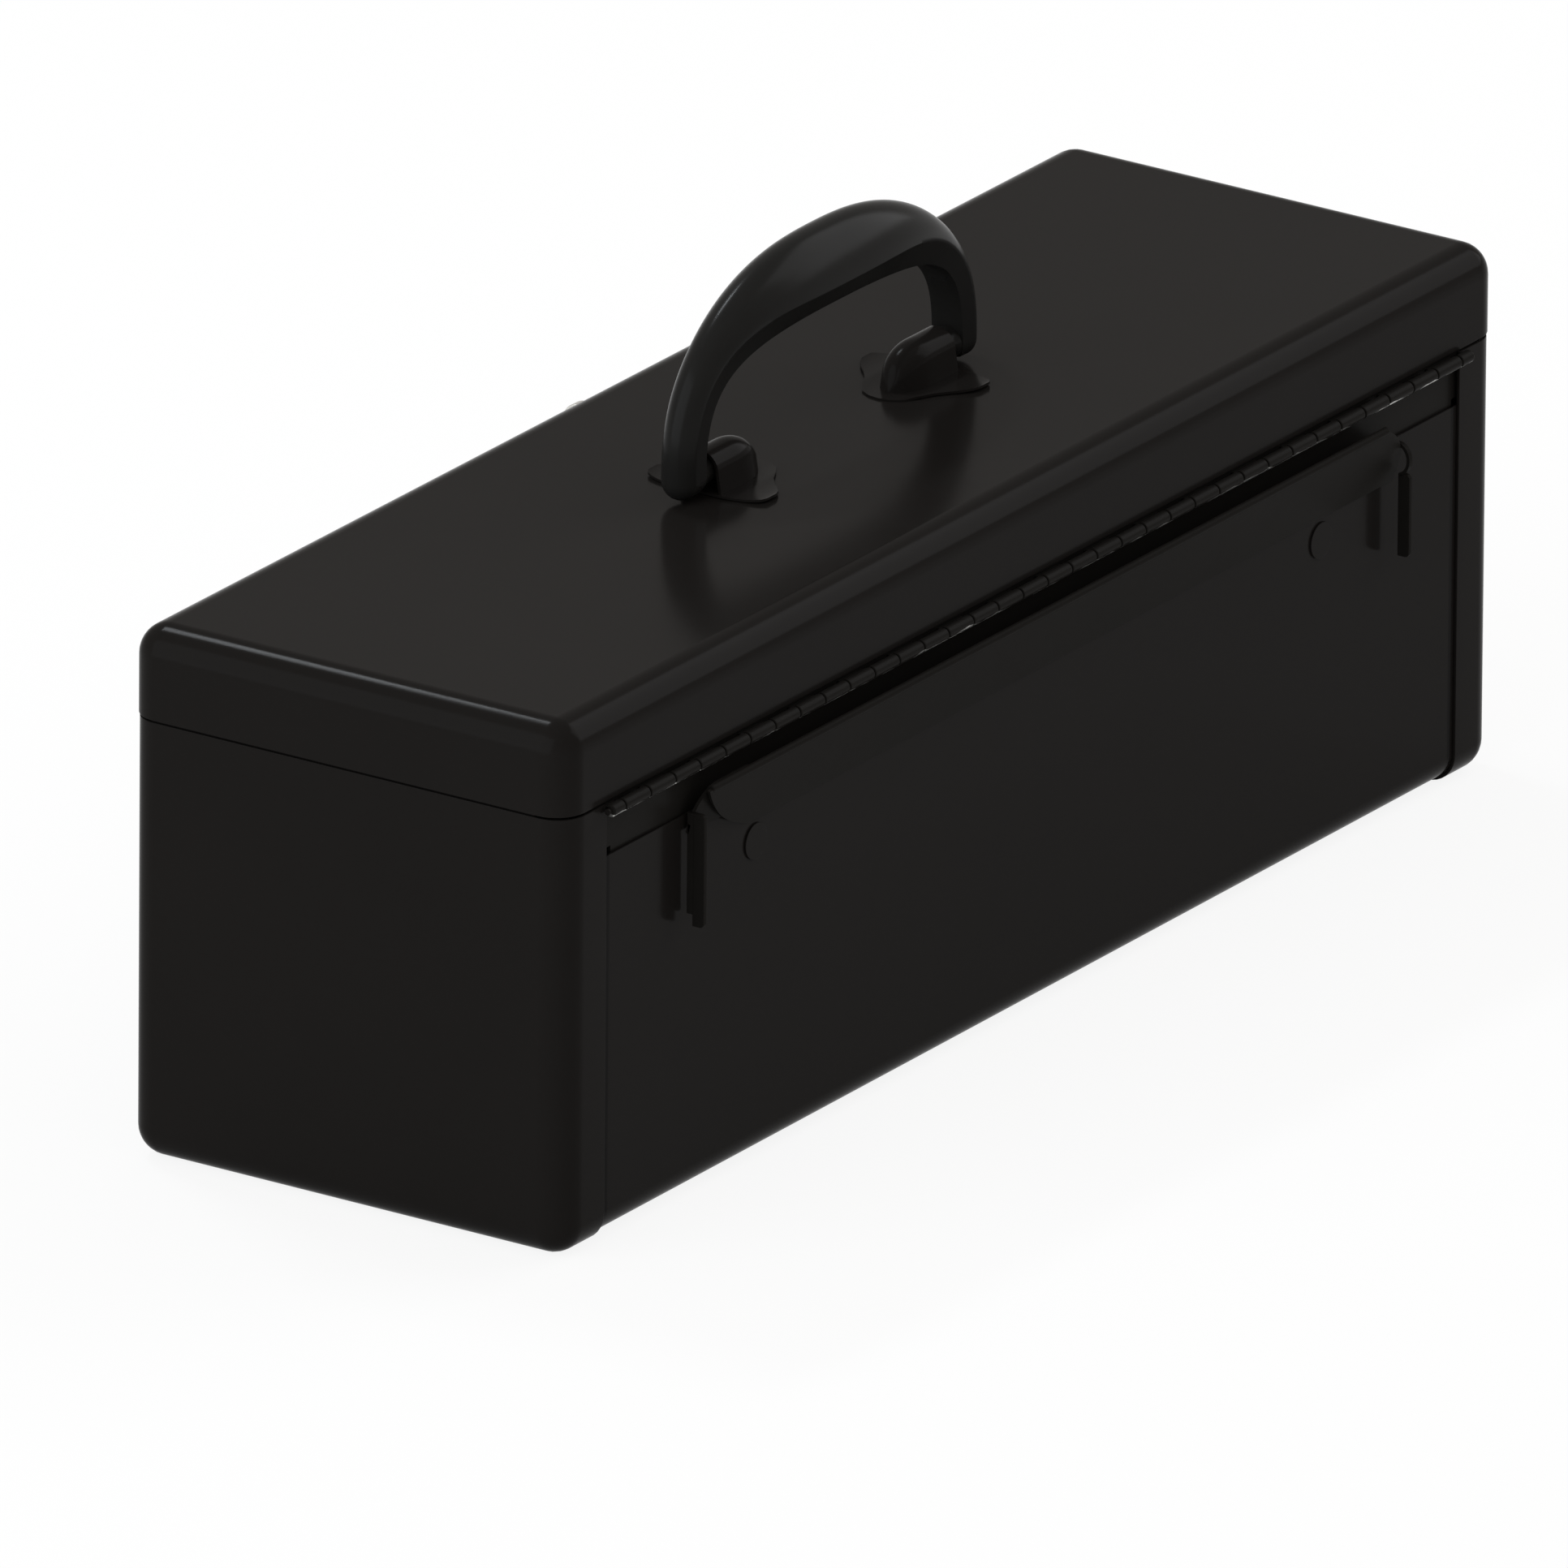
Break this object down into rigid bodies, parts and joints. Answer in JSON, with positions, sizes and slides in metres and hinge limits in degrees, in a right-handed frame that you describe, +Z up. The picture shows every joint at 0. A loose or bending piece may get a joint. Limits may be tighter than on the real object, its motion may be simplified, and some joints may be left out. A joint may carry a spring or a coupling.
{
  "type": "toolbox with tray",
  "caption": "Flat-top steel hand toolbox with a piano-hinged lid, drop-down carrying handle, draw latches, padlock hasp and a lift-out tray.",
  "frame": {"origin": "centre of the closed case's footprint, on the floor", "axes": "+X along the length of the box, -Y towards the front with the latches, +Y towards the rear with the hinge, +Z up"},
  "size_m": [0.4826, 0.169, 0.2228],
  "materials": {
    "black_paint": "smooth semi-gloss black enamel",
    "black_plastic": "polished black moulding",
    "bright_steel": "bright nickel plate",
    "tray_paint": "semi-gloss dark grey enamel"
  },
  "bodies": {
    "case": {"body_wrap": "black_paint", "end_cap_left": "black_paint", "end_cap_right": "black_paint", "rim_front": "black_paint", "rim_left": "black_paint", "rim_right": "black_paint", "rim_corner_left": "black_paint", "rim_corner_right": "black_paint", "hinge_leaf_lower": "black_paint", "hinge_pin": "black_paint", "lid_stop": "black_paint", "stop_rivets": "black_paint", "tray_ledge_left": "black_paint", "tray_ledge_right": "black_paint", "latch_base_left": "bright_steel", "latch_base_right": "bright_steel", "latch_pin_left": "bright_steel", "latch_pin_right": "bright_steel", "hasp_plate": "bright_steel", "hasp_pin": "bright_steel", "front_rivets": "bright_steel"},
    "lid": {"lid_shell": "black_paint", "hinge_leaf_upper": "black_paint", "handle_bracket_left": "black_paint", "handle_bracket_right": "black_paint", "keeper_left": "bright_steel", "keeper_right": "bright_steel", "hasp_staple": "bright_steel", "hasp_eye": "bright_steel", "lid_rivets": "bright_steel"},
    "carry_handle": {"handle": "black_plastic"},
    "lever_left": {"latch_lever_left": "bright_steel"},
    "lever_right": {"latch_lever_right": "bright_steel"},
    "bail_left": {"latch_bail_left": "bright_steel"},
    "bail_right": {"latch_bail_right": "bright_steel"},
    "hasp": {"hasp_strap": "bright_steel"},
    "tray": {"tray_pan": "tray_paint", "tray_divider_left": "tray_paint", "tray_divider_right": "tray_paint"},
    "tray_bail": {"tray_handle": "bright_steel"}
  },
  "joints": [
    {"name": "lid_hinge", "type": "hinge", "parent": "case", "child": "lid", "pos_m": [0, 0.0772, 0.1327], "axis": [-1, 0, 0], "range_deg": [0, 156]},
    {"name": "handle_fold", "type": "hinge", "parent": "lid", "child": "carry_handle", "pos_m": [0, 0, 0.1688], "axis": [1, 0, 0], "range_deg": [-82, 82]},
    {"name": "lever_left_turn", "type": "hinge", "parent": "case", "child": "lever_left", "pos_m": [-0.15, -0.0806, 0.117], "axis": [-1, 0, 0], "range_deg": [0, 110]},
    {"name": "lever_right_turn", "type": "hinge", "parent": "case", "child": "lever_right", "pos_m": [0.15, -0.0806, 0.117], "axis": [-1, 0, 0], "range_deg": [0, 110]},
    {"name": "bail_left_swing", "type": "hinge", "parent": "lever_left", "child": "bail_left", "pos_m": [-0.15, -0.0806, 0.107], "axis": [1, 0, 0], "range_deg": [-165, 0]},
    {"name": "bail_right_swing", "type": "hinge", "parent": "lever_right", "child": "bail_right", "pos_m": [0.15, -0.0806, 0.107], "axis": [1, 0, 0], "range_deg": [-165, 0]},
    {"name": "hasp_swing", "type": "hinge", "parent": "case", "child": "hasp", "pos_m": [0, -0.07785, 0.126], "axis": [-1, 0, 0], "range_deg": [0, 180]},
    {"name": "tray_lift", "type": "slide", "parent": "case", "child": "tray", "axis": [0, 0, 1], "range_m": [0, 0.022]},
    {"name": "tray_handle_fold", "type": "hinge", "parent": "tray", "child": "tray_bail", "pos_m": [0, 0, 0.127], "axis": [0, -1, 0], "range_deg": [0, 90]}
  ]
}
